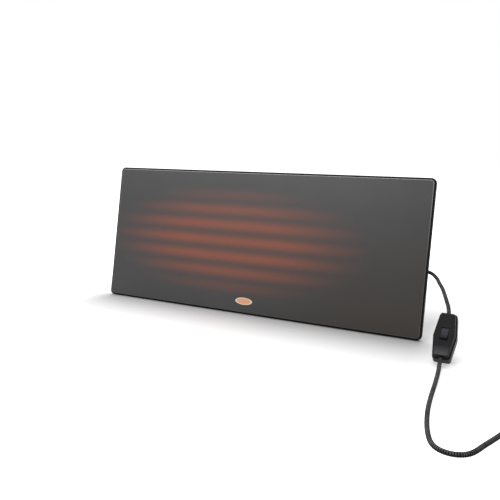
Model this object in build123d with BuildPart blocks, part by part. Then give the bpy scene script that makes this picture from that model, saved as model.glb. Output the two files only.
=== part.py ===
from build123d import *
import math
import os

# Flat panel coop heater: a thin radiant panel in a moulded rim, leaning back on two legs that fold into
# its back, with a fabric covered cord, an inline rocker switch and a grounded plug.
# Millimetres, +Z up. X runs along the panel and the face looks to -Y. The origin is on the floor in
# the middle of the stand, from the panel's lower front edge to the back of the leg tips.

os.makedirs("parts", exist_ok=True)

# Panel over its rim
panel_width = 735
panel_height = 305
panel_thickness = 12
panel_corner = 10
lean = 12  # degrees back from upright

# Moulded rim, and the ledge in it that both sheets seat on
rim_wall = 3.2
rim_step = 0.8  # rim front behind the panel's face
rim_round = 2.4
ledge_front = 4  # depth behind the face
ledge_reach = 8
cover_recess = 1.4
seat_gap = 0.2

# Sheets from front to back
front_sheet = 1.5
face_round = 2
track_foil = 0.4
carrier_sheet = 1
cover_sheet = 1.2
board_gap = 0.5

# Foil heating track
track_runs = 12
track_width = 9
track_margin = 14
tail_space = 16

# Pressed beads that stiffen the rear cover
bead_count = 3
bead_clear = 20  # from the end of a bead to a leg bracket
bead_width = 12
bead_height = 1.4
bead_taper = 30
bead_pitch = 62

# Self tapping screws of the rear cover
cover_screw_radius = 1.5
cover_screw_length = 4.5
cover_screw_head = 3.2
cover_screw_dome = 1.8
cover_screw_margin = 37.5  # last screw from the panel's end
cover_screws_along = 4
screw_gap = 0.06
dome_share = 0.6  # of a head's height, taken by its rounding
recess_width = 0.9  # each arm of the cross in a screw's head
recess_depth = 1
recess_share = 0.55  # of a head's width, taken by its cross

# Keyhole hangers
hanger_inset = 77.5  # keyhole from the panel's end
hanger_drop = 55  # entry hole below the panel's top
hanger_span = 30
hanger_foot = 14
hanger_stand = 7
hanger_length = 36
hanger_sheet = 1.5
hanger_rivet_row = 9
keyhole_entry = 4.5
keyhole_slot = 2.2
keyhole_travel = 13

# Rivets that hold the hangers and the leg brackets
rivet_radius = 2
rivet_head = 3.6
rivet_dome = 1.6
rivet_gap = 0.05

# Fold-out legs
leg_inset = 157.5  # leg from the panel's end
hinge_drop = 80  # pin below the panel's top
leg_swing = 22  # degrees from folded flat to open
leg_width = 20
leg_foot_width = 16
leg_front = 4.5  # flange edges in front of the pin
leg_heel = 6.75  # leg above the pin, the stop when open
leg_back = 6.5  # back of the web behind the pin
leg_sheet = 1.5
leg_slot_length = 90
leg_slot_width = 7
stop_gap = 0.3
bracket_sheet = 1.5
bracket_height = 30
bracket_flange = 13
bracket_corner = 3
ear_gap = 0.5
ear_round = 6.5
ear_flare = 3
pin_radius = 2.5
pin_head = 4.2
pin_dome = 1.5
pin_running_gap = 0.05
pin_press_gap = 0.02

# Rubber boots on the legs
boot_wall = 2.2
boot_height = 24
boot_sole = 6
boot_round = 2.5

# Junction box on the back
box_width = 84
box_height = 58
box_depth = 22
box_wall = 2
box_corner = 6
box_round = 2.5
box_inset = 29.5  # box side from the panel's right edge
box_center_height = 130
gasket = 1
gasket_width = 4
box_boss = 4
box_boss_inset = 6.5
box_screw_radius = 1.5
box_screw_head = 2.9
box_screw_head_height = 2
box_screw_sink = 3
box_rib_count = 5
box_rib_pitch = 7
box_rib_width = 2.4
box_rib_length = 34
box_rib_height = 0.8

# Strain relief
relief_neck = 5.6
relief_flange = 1.8
relief_collar_length = 3
relief_root = 6.6
relief_tip = 4.7
relief_length = 22
relief_rings = 4
relief_ring_gap = 1.6
relief_ring_depth = 0.9
neck_gap = 0.1

# Terminal block, thermal cut-out, earth tag and leads in the box
block_width = 18
block_length = 32
block_depth = 13
block_offset = -10  # from the middle of the box
pole_pitch = 10
poles = 3
pole_height = 5
block_chamfer = 1
pole_bore = 1.9
pole_screw = 2
pole_screw_depth = 5
pole_screw_length = 3
cutout_radius = 6.1
cutout_height = 7
cutout_flange = 6.8
cutout_flange_sheet = 0.8
cutout_tab_width = 4
cutout_tab_height = 6
cutout_tab_sheet = 0.8
cutout_tab_spread = 3.4
lead_radius = 1.2
lead_hole = 3
lead_offset = 14
lead_spread = 19
lead_pass = 8  # leads over the rear cover
lead_turn = 7
core_spread = 2.7
core_run = 5
earth_offset = 12
earth_ring = 4.5
earth_bore = 2.1
earth_sheet = 0.8
earth_barrel = 6
earth_screw = 2
earth_screw_head = 3.6
earth_screw_dome = 2

# Cord
cord_radius = 3.5
bend_share = 0.45  # of the shorter run, taken by each bend

# Inline switch
switch_length = 85.5
switch_end = 29
switch_belly = 39.5
switch_belly_round = 14
switch_depth = 16  # base, behind the cord's axis
switch_rise = 11  # cover, in front of it
switch_wall = 2.2
switch_lip = 1.8  # base showing round the cover
switch_corner = 5
switch_base_round = 1.5
switch_cover_round = 2.8
switch_draft = 7
switch_incline = 47
switch_heading = -0.5
switch_x = 419.7
switch_y = -124.2
cord_gap = 0.1

# Rocker
rocker_width = 12
rocker_reach = 10.8  # from its pivot to each end
rocker_gap = 0.6
rocker_valley = 3.4  # pivot to the middle of the top
rocker_crest = 4.8  # pivot to the ends of the top
rocker_keel = 7
rocker_round = 0.5
rocker_set = 3.5  # pivot below the cover's face
rocker_rest = 12  # degrees from level, lower half out
trunnion_radius = 1.6
trunnion_length = 2.2
trunnion_gap = 0.06
cheek_thickness = 2.6
cheek_gap = 0.3
cheek_height = 10
cheek_width = 10

# Inside the switch
clamp_height = 4.5
clamp_length = 5
clamp_gap = 0.5  # from the cover's end wall
post_width = 5
switch_screw_radius = 1.4
switch_screw_head = 2.7
switch_screw_sink = 3
switch_boss = 3.6
switch_boss_y = 24
terminal_width = 9
terminal_height = 8
terminal_length = 10
terminal_gap = 5.6  # from the clamp
terminal_sheet = 1.5
contact_sheet = 0.8
contact_width = 5
contact_length = 14
contact_button = 1.8
cover_screw_depth = 6

# Cord from the strain relief to the switch, after its first point and before the switch
lead_start_run = 12
lead_middle = [
    (382.4, -13.2, 120.3),
    (390.7, -23.6, 111.8),
    (398.8, -44, 104.4),
    (407.9, -67.1, 96),
]
lead_end_run = 10.2

# Cord over the floor, from the bend under the switch to the coil
floor_run = [
    (421, -178),
    (424.7, -228.5),
    (429.4, -290),
    (434.4, -340),
    (441.7, -386.4),
    (452.8, -426.7),
    (464.4, -438.3),
    (480.2, -442.9),
    (496.2, -439.1),
    (508.4, -428.1),
    (516.5, -404),
    (526.8, -379),
]
drop_first = 3  # first short run out of the switch
drop_second = 9.5
drop_second_slope = 25

# Coil of the length that is put away, its tie and the plug
coil_approach = (538.5, -354.5)
coil_start = (547, -329.9)
coil_heading = 19  # degrees from +Y towards +X
coil_outer = 46.5  # radius of the outer half turns
coil_gap = 0.6  # between turns
coil_half_turns = 4  # in each layer
coil_lift = 1.2
coil_tail = 30  # straight run into the plug
coil_samples = 600
tie_sheet = 1
tie_width = 12
tie_side_gap = 0.8
tie_gap = 0.1
tie_round = 3.5
plug_length = 48
plug_grip = 30
plug_waist = 16
plug_waist_width = 17
plug_width = 31
plug_neck = 11
plug_neck_share = 0.45  # of the neck, taken by its rounding
plug_edge = 5
plug_face_round = 1.5
plug_ribs = 3
plug_rib = 2.2  # length of each rib on the neck
plug_rib_rise = 1
blade_spacing = 12.7
blade_width = 6.3
blade_sheet = 1.5
blade_length = 17
blade_rise = 5
ground_radius = 2.4
ground_length = 20
ground_drop = 11.9


def keep(piece, name):
    piece.label = name
    export_step(piece, f"parts/{name}.step")


# Depths behind the face
cover_back = panel_thickness - cover_recess
cover_front = cover_back - cover_sheet
carrier_front = front_sheet + track_foil
board_front = carrier_front + carrier_sheet
swing = math.radians(leg_swing)
hinge_offset = bracket_sheet + stop_gap + leg_heel * math.sin(swing) + leg_front * math.cos(swing)
hinge_depth = cover_back + hinge_offset
hinge_height = panel_height - hinge_drop
hanger_height = panel_height - hanger_drop

# Openings of the rim
sheet_inset = rim_wall + seat_gap
opening_inset = rim_wall + ledge_reach
sheet_width = panel_width - 2 * sheet_inset
sheet_height = panel_height - 2 * sheet_inset
sheet_corner = panel_corner - sheet_inset
opening_width = panel_width - 2 * opening_inset
opening_height = panel_height - 2 * opening_inset
middle = panel_height / 2

# The panel leans on its lower rear edge, with that edge's rounding on the floor
sine = math.sin(math.radians(lean))
cosine = math.cos(math.radians(lean))
slope = swing - math.radians(lean)
base_z = rim_round - rim_round * cosine + (panel_thickness - rim_round) * sine
hinge_z = base_z + hinge_height * cosine - hinge_depth * sine
rim_front = rim_round * sine + (rim_step + rim_round) * cosine - rim_round
face_front = (sheet_inset + face_round) * sine + face_round * cosine - face_round
boot_back = leg_back + boot_wall
boot_reach = hinge_z * math.tan(slope) + boot_back / math.cos(slope)
rear_reach = hinge_height * sine + hinge_depth * cosine + boot_reach
base_y = -(min(rim_front, face_front) + rear_reach) / 2

# The face: x along the panel, y up it, z out to the front. The back: the same seen from behind.
face = Plane(origin=(0, base_y, base_z), x_dir=(1, 0, 0), z_dir=(0, -cosine, sine))
back = Plane(origin=face.from_local_coords((0, 0, -cover_back)), x_dir=(-1, 0, 0), z_dir=(0, cosine, -sine))
depth_axis = Axis(face.origin, back.z_dir)


def behind(depth):
    return face.offset(-depth)


def cross_recess(head):
    arm = 2 * head * recess_share
    with BuildSketch() as cross:
        Rectangle(arm, recess_width)
        Rectangle(recess_width, arm)
    return cross.sketch


def bend_radii(route):
    radii = []
    for before, corner, after in zip(route, route[1:], route[2:]):
        run_in = corner - before
        run_out = after - corner
        half_turn = math.radians(run_in.get_angle(run_out)) / 2
        radii.append(bend_share * min(run_in.length, run_out.length) / math.tan(half_turn))
    return radii


# Places of the rear cover's screws: one at each end, and a row above and below
screw_column = (panel_width - rim_wall - opening_inset) / 2
screw_row = (panel_height - rim_wall - opening_inset) / 2
screw_pitch = (panel_width - 2 * cover_screw_margin) / (cover_screws_along - 1)
cover_screws_at = [(-screw_column, middle), (screw_column, middle)]
for number in range(cover_screws_along):
    screw_x = cover_screw_margin - panel_width / 2 + number * screw_pitch
    cover_screws_at.append((screw_x, middle - screw_row))
    cover_screws_at.append((screw_x, middle + screw_row))

# Moulded rim
with BuildPart() as edge_rim:
    with BuildSketch(behind(panel_thickness)):
        with Locations((0, middle)):
            RectangleRounded(panel_width, panel_height, panel_corner)
    extrude(amount=panel_thickness - rim_step)
    front_loop = edge_rim.faces().sort_by(depth_axis)[0].edges()
    back_loop = edge_rim.faces().sort_by(depth_axis)[-1].edges()
    fillet(front_loop + back_loop, rim_round)
    with BuildSketch(behind(panel_thickness)):
        with Locations((0, middle)):
            Rectangle(opening_width, opening_height)
    extrude(amount=panel_thickness, mode=Mode.SUBTRACT)
    with BuildSketch(behind(ledge_front)):
        with Locations((0, middle)):
            RectangleRounded(panel_width - 2 * rim_wall, panel_height - 2 * rim_wall, panel_corner - rim_wall)
    extrude(amount=ledge_front, mode=Mode.SUBTRACT)
    with BuildSketch(behind(panel_thickness)):
        with Locations((0, middle)):
            RectangleRounded(panel_width - 2 * rim_wall, panel_height - 2 * rim_wall, panel_corner - rim_wall)
    extrude(amount=panel_thickness - cover_front, mode=Mode.SUBTRACT)
    with BuildSketch(behind(cover_front)):
        with Locations(*cover_screws_at):
            Circle(cover_screw_radius + screw_gap)
    extrude(amount=cover_screw_length - cover_sheet, mode=Mode.SUBTRACT)
keep(edge_rim.part, "edge_rim")

# Pressed steel front, a shallow tray with rolled edges that seats on the ledge
with BuildPart() as front_panel:
    with BuildSketch(behind(ledge_front)):
        with Locations((0, middle)):
            RectangleRounded(sheet_width, sheet_height, sheet_corner)
    extrude(amount=ledge_front)
    fillet(front_panel.faces().sort_by(depth_axis)[0].edges(), face_round)
    with BuildSketch(behind(ledge_front)):
        with Locations((0, middle)):
            RectangleRounded(
                sheet_width - 2 * front_sheet, sheet_height - 2 * front_sheet, sheet_corner - front_sheet
            )
    extrude(amount=ledge_front - front_sheet, mode=Mode.SUBTRACT)
keep(front_panel.part, "front_panel")

# Foil track: level runs joined end to end, with two tails to the leads
box_side = panel_width / 2 - box_inset
box_x = box_side - box_width / 2
tail_x = box_x + lead_offset
track_left = track_margin - opening_width / 2
track_right = tail_x - tail_space
run_span = opening_height - 2 * track_margin - track_width
run_pitch = run_span / (track_runs - 1)
run_low = middle - run_span / 2
run_high = middle + run_span / 2
lead_low = box_center_height - lead_spread
lead_high = box_center_height + lead_spread

with BuildPart() as element_track:
    with BuildSketch(behind(carrier_front)):
        with Locations(((track_left + track_right) / 2, middle)):
            with GridLocations(1, run_pitch, 1, track_runs):
                Rectangle(track_right - track_left, track_width)
        for step in range(track_runs - 1):
            link_x = track_right if step % 2 else track_left
            toward = -1 if step % 2 else 1
            with Locations((link_x + toward * track_width / 2, run_low + (step + 0.5) * run_pitch)):
                Rectangle(track_width, run_pitch)
        for run_y, lead_y in ((run_low, lead_low), (run_high, lead_high)):
            with Locations(((track_right + tail_x) / 2, run_y)):
                Rectangle(tail_x - track_right + track_width, track_width)
            with Locations((tail_x, (run_y + lead_y) / 2)):
                Rectangle(track_width, abs(run_y - lead_y) + track_width)
    extrude(amount=track_foil)
keep(element_track.part, "element_track")

# Mica sheet and board behind the track, with holes for the leads
with BuildPart() as element_carrier:
    with BuildSketch(behind(board_front)):
        with Locations((0, middle)):
            Rectangle(opening_width - 2 * board_gap, opening_height - 2 * board_gap)
        with Locations((tail_x, lead_low), (tail_x, lead_high)):
            Circle(lead_hole, mode=Mode.SUBTRACT)
    extrude(amount=carrier_sheet)
keep(element_carrier.part, "element_carrier")

with BuildPart() as insulation_board:
    with BuildSketch(behind(cover_front)):
        with Locations((0, middle)):
            Rectangle(opening_width - 2 * board_gap, opening_height - 2 * board_gap)
        with Locations((tail_x, lead_low), (tail_x, lead_high)):
            Circle(lead_hole, mode=Mode.SUBTRACT)
    extrude(amount=cover_front - board_front)
keep(insulation_board.part, "insulation_board")

# Places on the back, in the face's own x and y
hanger_x = panel_width / 2 - hanger_inset
leg_x = panel_width / 2 - leg_inset
hanger_places = {"left": -hanger_x, "right": hanger_x}
leg_places = {"left": -leg_x, "right": leg_x}
hanger_rivet_x = hanger_span / 2 + hanger_foot / 2
hanger_middle = hanger_height + keyhole_travel / 2
ear_outer = leg_width / 2 + ear_gap + bracket_sheet
bracket_rivet_x = ear_outer + bracket_flange / 2
bracket_rivet_y = bracket_height / 2 - bracket_flange / 2
bead_length = 2 * (leg_x - ear_outer - bracket_flange - bead_clear)
hanger_rivets_at = []
for place in hanger_places.values():
    for side in (-1, 1):
        for row in (-1, 1):
            hanger_rivets_at.append((place + side * hanger_rivet_x, hanger_middle + row * hanger_rivet_row))
bracket_rivets_at = []
for place in leg_places.values():
    for side in (-1, 1):
        for row in (-1, 1):
            bracket_rivets_at.append((place + side * bracket_rivet_x, hinge_height + row * bracket_rivet_y))
box_screws_at = []
for side in (-1, 1):
    for row in (-1, 1):
        box_screws_at.append(
            (
                box_x + side * (box_width / 2 - box_boss_inset),
                box_center_height + row * (box_height / 2 - box_boss_inset),
            )
        )
earth_at = (box_x + earth_offset, box_center_height)

# Rear cover with its beads and holes
with BuildPart() as rear_cover:
    with BuildSketch(behind(cover_back)):
        with Locations((0, middle)):
            RectangleRounded(sheet_width, sheet_height, sheet_corner)
    extrude(amount=cover_sheet)
    with BuildSketch(back):
        with Locations((0, middle)):
            with GridLocations(1, bead_pitch, 1, bead_count):
                SlotOverall(bead_length, bead_width)
    extrude(amount=bead_height, taper=bead_taper)
    with BuildSketch(behind(cover_front)):
        with Locations((0, middle)):
            with GridLocations(1, bead_pitch, 1, bead_count):
                SlotOverall(bead_length - 2 * cover_sheet, bead_width - 2 * cover_sheet)
    extrude(amount=-bead_height, mode=Mode.SUBTRACT)
    with BuildSketch(behind(cover_back)):
        with Locations(*cover_screws_at):
            Circle(cover_screw_radius + screw_gap)
        with Locations(*hanger_rivets_at, *bracket_rivets_at):
            Circle(rivet_radius + rivet_gap)
        with Locations(*box_screws_at):
            Circle(box_screw_radius + screw_gap)
        with Locations((tail_x, lead_low), (tail_x, lead_high)):
            Circle(lead_hole)
        with Locations(earth_at):
            Circle(earth_screw + screw_gap)
    extrude(amount=cover_sheet, mode=Mode.SUBTRACT)
keep(rear_cover.part, "rear_cover")

with BuildPart() as cover_screws:
    with BuildSketch(behind(cover_back)):
        with Locations(*cover_screws_at):
            Circle(cover_screw_radius)
    extrude(amount=cover_screw_length)
    with BuildSketch(back):
        with Locations(*cover_screws_at):
            Circle(cover_screw_head)
    extrude(amount=cover_screw_dome)
    heads = cover_screws.edges().filter_by(GeomType.CIRCLE).group_by(depth_axis)[-1]
    fillet(heads, cover_screw_dome * dome_share)
    with BuildSketch(back.offset(cover_screw_dome - recess_depth)):
        with Locations(*cover_screws_at):
            add(cross_recess(cover_screw_head))
    extrude(amount=recess_depth, mode=Mode.SUBTRACT)
keep(cover_screws.part, "cover_screws")

# Keyhole hangers: bent straps with a raised middle that a screw head goes behind
for side, place in hanger_places.items():
    section = Plane(
        origin=face.from_local_coords((place, hanger_middle - hanger_length / 2, -cover_back)),
        x_dir=(1, 0, 0),
        z_dir=face.y_dir,
    )
    with BuildPart() as hanger:
        with BuildSketch(section):
            with BuildLine():
                FilletPolyline(
                    (-hanger_span / 2 - hanger_foot, 0),
                    (-hanger_span / 2, 0),
                    (-hanger_span / 2, hanger_stand),
                    (hanger_span / 2, hanger_stand),
                    (hanger_span / 2, 0),
                    (hanger_span / 2 + hanger_foot, 0),
                    radius=hanger_sheet / 2,
                )
                offset(amount=hanger_sheet, side=Side.LEFT)
            make_face()
        extrude(amount=hanger_length)
        with BuildSketch(behind(cover_back)):
            with Locations((place, hanger_height)):
                Circle(keyhole_entry)
            with Locations((place, hanger_height + keyhole_travel / 2)):
                Rectangle(2 * keyhole_slot, keyhole_travel)
            with Locations((place, hanger_height + keyhole_travel)):
                Circle(keyhole_slot)
        extrude(amount=-2 * (hanger_stand + hanger_sheet), mode=Mode.SUBTRACT)
        with BuildSketch(behind(cover_back)):
            with Locations(*hanger_rivets_at):
                Circle(rivet_radius + rivet_gap)
        extrude(amount=-2 * hanger_sheet, mode=Mode.SUBTRACT)
    keep(hanger.part, f"hanger_{side}")


def rivets(places, sheet):
    with BuildPart() as group:
        with BuildSketch(behind(cover_front)):
            with Locations(*places):
                Circle(rivet_radius)
        extrude(amount=-(cover_sheet + sheet))
        with BuildSketch(behind(cover_back + sheet)):
            with Locations(*places):
                Circle(rivet_head)
        extrude(amount=-rivet_dome)
        fillet(group.edges().filter_by(GeomType.CIRCLE).group_by(depth_axis)[-1], rivet_dome * dome_share)
    return group.part


keep(rivets(hanger_rivets_at, hanger_sheet), "hanger_rivets")
keep(rivets(bracket_rivets_at, bracket_sheet), "bracket_rivets")

# Legs: brackets with two ears, pins, pressed channels and rubber boots
leg_reach = hinge_z / math.cos(slope)
leg_end = leg_reach - boot_sole
leg_taper = (leg_width - leg_foot_width) / 2 / (leg_heel + leg_end)
boot_mouth = leg_foot_width / 2 + leg_taper * boot_height  # half the leg's width where it enters
for side, place in leg_places.items():
    hinge = face.from_local_coords((place, hinge_height, -hinge_depth))
    across = Plane(origin=hinge, x_dir=face.y_dir, z_dir=(1, 0, 0))
    with BuildPart() as bracket:
        with BuildSketch(behind(cover_back + bracket_sheet)):
            with Locations((place, hinge_height)):
                RectangleRounded(2 * (ear_outer + bracket_flange), bracket_height, bracket_corner)
        extrude(amount=bracket_sheet)
        for ear in (-1, 1):
            ear_plane = across.offset(ear * (ear_outer - bracket_sheet / 2) - bracket_sheet / 2)
            with BuildSketch(ear_plane):
                with BuildLine():
                    ear_top = CenterArc((0, 0), ear_round, 180, 180)
                    Line(ear_top @ 1, (ear_round + ear_flare, hinge_offset))
                    Line((ear_round + ear_flare, hinge_offset), (-ear_round - ear_flare, hinge_offset))
                    Line((-ear_round - ear_flare, hinge_offset), ear_top @ 0)
                make_face()
                Circle(pin_radius + pin_press_gap, mode=Mode.SUBTRACT)
            extrude(amount=bracket_sheet)
        with BuildSketch(behind(cover_back)):
            with Locations(*bracket_rivets_at):
                Circle(rivet_radius + rivet_gap)
        extrude(amount=-bracket_sheet, mode=Mode.SUBTRACT)
    keep(bracket.part, f"bracket_{side}")

    with BuildPart() as pin:
        with BuildSketch(across.offset(-ear_outer)):
            Circle(pin_radius)
        extrude(amount=2 * ear_outer)
        for end in (-1, 1):
            with BuildSketch(across.offset(end * ear_outer)):
                Circle(pin_head)
            extrude(amount=end * pin_dome)
        pin_ends = pin.edges().filter_by(GeomType.CIRCLE).group_by(Axis.X)
        fillet(pin_ends[0] + pin_ends[-1], pin_dome * dome_share)
    keep(pin.part, f"pin_{side}")

    leg_plane = Plane(origin=hinge, x_dir=(1, 0, 0), z_dir=(0, -math.cos(slope), -math.sin(slope)))
    with BuildPart() as leg:
        with BuildSketch(leg_plane.offset(-leg_back)):
            with BuildLine():
                Polyline(
                    (-leg_width / 2, leg_heel),
                    (leg_width / 2, leg_heel),
                    (leg_foot_width / 2, -leg_end),
                    (-leg_foot_width / 2, -leg_end),
                    close=True,
                )
            make_face()
        extrude(amount=leg_back + leg_front)
        long_edges = leg.edges().filter_by(lambda edge: edge.length > leg_reach / 2)
        fillet(long_edges.group_by(Axis.Y)[-1], leg_sheet)
        with BuildSketch(leg_plane.offset(leg_sheet - leg_back)):
            with BuildLine():
                Polyline(
                    (leg_sheet - leg_width / 2, leg_heel + leg_sheet),
                    (leg_width / 2 - leg_sheet, leg_heel + leg_sheet),
                    (leg_foot_width / 2 - leg_sheet, -leg_end - leg_sheet),
                    (leg_sheet - leg_foot_width / 2, -leg_end - leg_sheet),
                    close=True,
                )
            make_face()
        extrude(amount=leg_back + leg_front, mode=Mode.SUBTRACT)
        with BuildSketch(leg_plane.offset(-leg_back)):
            with Locations((0, -leg_reach / 2)):
                SlotOverall(leg_slot_length, leg_slot_width, rotation=90)
        extrude(amount=leg_sheet, mode=Mode.SUBTRACT)
        with BuildSketch(across.offset(-leg_width)):
            Circle(pin_radius + pin_running_gap)
        extrude(amount=2 * leg_width, mode=Mode.SUBTRACT)
    keep(leg.part, f"leg_{side}")

    with BuildPart() as tip:
        with BuildSketch(leg_plane.offset(-leg_back - boot_wall)):
            with Locations((0, -leg_end + boot_height / 2 - boot_sole)):
                Rectangle(2 * (boot_mouth + boot_wall), boot_height + 2 * boot_sole)
        extrude(amount=leg_back + leg_front + 2 * boot_wall)
        fillet(tip.edges().filter_by(Axis(hinge, leg_plane.y_dir)), boot_round)
        split(bisect_by=Plane.XY, keep=Keep.TOP)
        with BuildSketch(leg_plane.offset(-leg_back)):
            with BuildLine():
                Polyline(
                    (leg_foot_width / 2, -leg_end),
                    (boot_mouth, boot_height - leg_end),
                    (-boot_mouth, boot_height - leg_end),
                    (-leg_foot_width / 2, -leg_end),
                    close=True,
                )
            make_face()
        extrude(amount=leg_back + leg_front, mode=Mode.SUBTRACT)
    keep(tip.part, f"tip_{side}")

# Junction box on its gasket. On the back plane x is turned round.
box_at = (-box_x, box_center_height)
box_screws_behind = [(-x, y) for x, y in box_screws_at]
box_top = gasket + box_depth
gasket_inside_width = box_width - 2 * gasket_width
gasket_inside_height = box_height - 2 * gasket_width
box_inner_corner = box_corner - box_wall
relief_axis = (box_top - box_wall) / 2
relief_collar = relief_neck + relief_flange

with BuildPart() as box_gasket:
    with BuildSketch(back):
        with Locations(box_at):
            RectangleRounded(box_width, box_height, box_corner)
            RectangleRounded(gasket_inside_width, gasket_inside_height, box_inner_corner, mode=Mode.SUBTRACT)
    extrude(amount=gasket)
keep(box_gasket.part, "box_gasket")

relief_start = face.from_local_coords((box_side, box_center_height, -cover_back - relief_axis))
with BuildPart() as junction_box:
    with BuildSketch(back.offset(gasket)):
        with Locations(box_at):
            RectangleRounded(box_width, box_height, box_corner)
    extrude(amount=box_depth)
    fillet(junction_box.faces().sort_by(depth_axis)[-1].edges(), box_round)
    with BuildSketch(back.offset(gasket)):
        with Locations(box_at):
            RectangleRounded(box_width - 2 * box_wall, box_height - 2 * box_wall, box_inner_corner)
    extrude(amount=box_depth - box_wall, mode=Mode.SUBTRACT)
    with BuildSketch(back.offset(gasket)):
        with Locations(*box_screws_behind):
            Circle(box_boss)
    extrude(amount=box_depth - box_wall)
    with BuildSketch(back.offset(box_top)):
        with Locations(box_at):
            with GridLocations(1, box_rib_pitch, 1, box_rib_count):
                SlotOverall(box_rib_length, box_rib_width)
    extrude(amount=box_rib_height)
    with BuildSketch(back.offset(gasket)):
        with Locations(*box_screws_behind):
            Circle(box_screw_radius + screw_gap)
    extrude(amount=box_depth, mode=Mode.SUBTRACT)
    with BuildSketch(back.offset(box_top - box_screw_sink)):
        with Locations(*box_screws_behind):
            Circle(box_screw_head + neck_gap)
    extrude(amount=box_screw_sink, mode=Mode.SUBTRACT)
    with BuildSketch(Plane(origin=relief_start, z_dir=(1, 0, 0))):
        Circle(relief_neck + neck_gap)
    extrude(amount=-2 * box_wall, mode=Mode.SUBTRACT)
keep(junction_box.part, "junction_box")

with BuildPart() as box_screws:
    with BuildSketch(back.offset(box_top - box_screw_sink)):
        with Locations(*box_screws_behind):
            Circle(box_screw_radius)
    extrude(amount=-(box_top - box_screw_sink + cover_sheet))
    with BuildSketch(back.offset(box_top - box_screw_sink)):
        with Locations(*box_screws_behind):
            Circle(box_screw_head)
    extrude(amount=box_screw_head_height)
    box_heads = box_screws.edges().filter_by(GeomType.CIRCLE).group_by(depth_axis)[-1]
    fillet(box_heads, box_screw_head_height * dome_share)
    with BuildSketch(back.offset(box_top - box_screw_sink + box_screw_head_height - recess_depth)):
        with Locations(*box_screws_behind):
            add(cross_recess(box_screw_head))
    extrude(amount=recess_depth, mode=Mode.SUBTRACT)
keep(box_screws.part, "box_screws")

# Moulded strain relief: a collar each side of the wall, then a ringed taper
relief_plane = Plane(origin=relief_start, x_dir=(1, 0, 0), z_dir=face.z_dir)
taper_length = relief_length - relief_collar_length
with BuildPart() as strain_relief:
    with BuildSketch(relief_plane):
        with BuildLine():
            Polyline(
                (-box_wall - relief_collar_length, 0),
                (-box_wall - relief_collar_length, relief_collar),
                (-box_wall, relief_collar),
                (-box_wall, relief_neck),
                (0, relief_neck),
                (0, relief_collar),
                (relief_collar_length, relief_collar),
                (relief_collar_length, relief_root),
                (relief_length, relief_tip),
                (relief_length, 0),
                close=True,
            )
        make_face()
        for ring in range(relief_rings):
            share = (ring + 1) / (relief_rings + 1)
            ring_x = relief_collar_length + share * taper_length
            ring_radius = relief_root + share * (relief_tip - relief_root)
            with Locations((ring_x, ring_radius)):
                Rectangle(relief_ring_gap, 2 * relief_ring_depth, mode=Mode.SUBTRACT)
    revolve(axis=Axis(relief_start, (1, 0, 0)))
keep(strain_relief.part, "strain_relief")

# Terminal block with a bore and a screw for each pole
block_x = box_x + block_offset
block_at = (-block_x, box_center_height)
block_right = block_x + block_width / 2
block_left = block_x - block_width / 2
pole_depth = -cover_back - pole_height
with BuildPart() as terminal_block:
    with BuildSketch(back):
        with Locations(block_at):
            Rectangle(block_width, block_length)
    extrude(amount=block_depth)
    chamfer(terminal_block.faces().sort_by(depth_axis)[-1].edges(), block_chamfer)
    with BuildSketch(back.offset(block_depth - pole_screw_depth)):
        with Locations(block_at):
            with GridLocations(1, pole_pitch, 1, poles):
                Circle(pole_screw)
    extrude(amount=pole_screw_depth, mode=Mode.SUBTRACT)
    bore_plane = Plane(
        origin=face.from_local_coords((block_left, box_center_height, pole_depth)),
        x_dir=face.y_dir,
        z_dir=(1, 0, 0),
    )
    with BuildSketch(bore_plane):
        with GridLocations(pole_pitch, 1, poles, 1):
            Circle(pole_bore)
    extrude(amount=block_width, mode=Mode.SUBTRACT)
keep(terminal_block.part, "terminal_block")

with BuildPart() as terminal_screws:
    with BuildSketch(back.offset(block_depth - pole_screw_depth)):
        with Locations(block_at):
            with GridLocations(1, pole_pitch, 1, poles):
                Circle(pole_screw - screw_gap)
    extrude(amount=pole_screw_length)
    with BuildSketch(back.offset(block_depth - pole_screw_depth + pole_screw_length - recess_depth)):
        with Locations(block_at):
            with GridLocations(1, pole_pitch, 1, poles):
                Rectangle(2 * pole_screw, recess_width)
    extrude(amount=recess_depth, mode=Mode.SUBTRACT)
keep(terminal_screws.part, "terminal_screws")

# Bimetal cut-out on the rear cover, between the gasket and the block
cutout_at = (-(block_left + box_x - gasket_inside_width / 2) / 2, box_center_height)
with BuildPart() as thermal_cutout:
    with BuildSketch(back):
        with Locations(cutout_at):
            Circle(cutout_flange)
    extrude(amount=cutout_flange_sheet)
    with BuildSketch(back.offset(cutout_flange_sheet)):
        with Locations(cutout_at):
            Circle(cutout_radius)
    extrude(amount=cutout_height)
    with BuildSketch(back.offset(cutout_flange_sheet + cutout_height)):
        with Locations(cutout_at):
            with GridLocations(1, 2 * cutout_tab_spread, 1, 2):
                Rectangle(cutout_tab_width, cutout_tab_sheet)
    extrude(amount=cutout_tab_height)
keep(thermal_cutout.part, "thermal_cutout")

# Earth tag, its screw, and the leads between track, block, tag and cord
earth_behind = (-earth_at[0], earth_at[1])
barrel_end = earth_at[0] + earth_ring - earth_sheet + earth_barrel
with BuildPart() as earth_tag:
    with BuildSketch(back):
        with Locations(earth_behind):
            Circle(earth_ring)
            Circle(earth_bore, mode=Mode.SUBTRACT)
    extrude(amount=earth_sheet)
    with BuildSketch(back):
        with Locations((earth_barrel / 2 - barrel_end, earth_behind[1])):
            Rectangle(earth_barrel, 2 * lead_radius + 2 * earth_sheet)
    extrude(amount=2 * lead_radius)
keep(earth_tag.part, "earth_tag")

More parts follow.
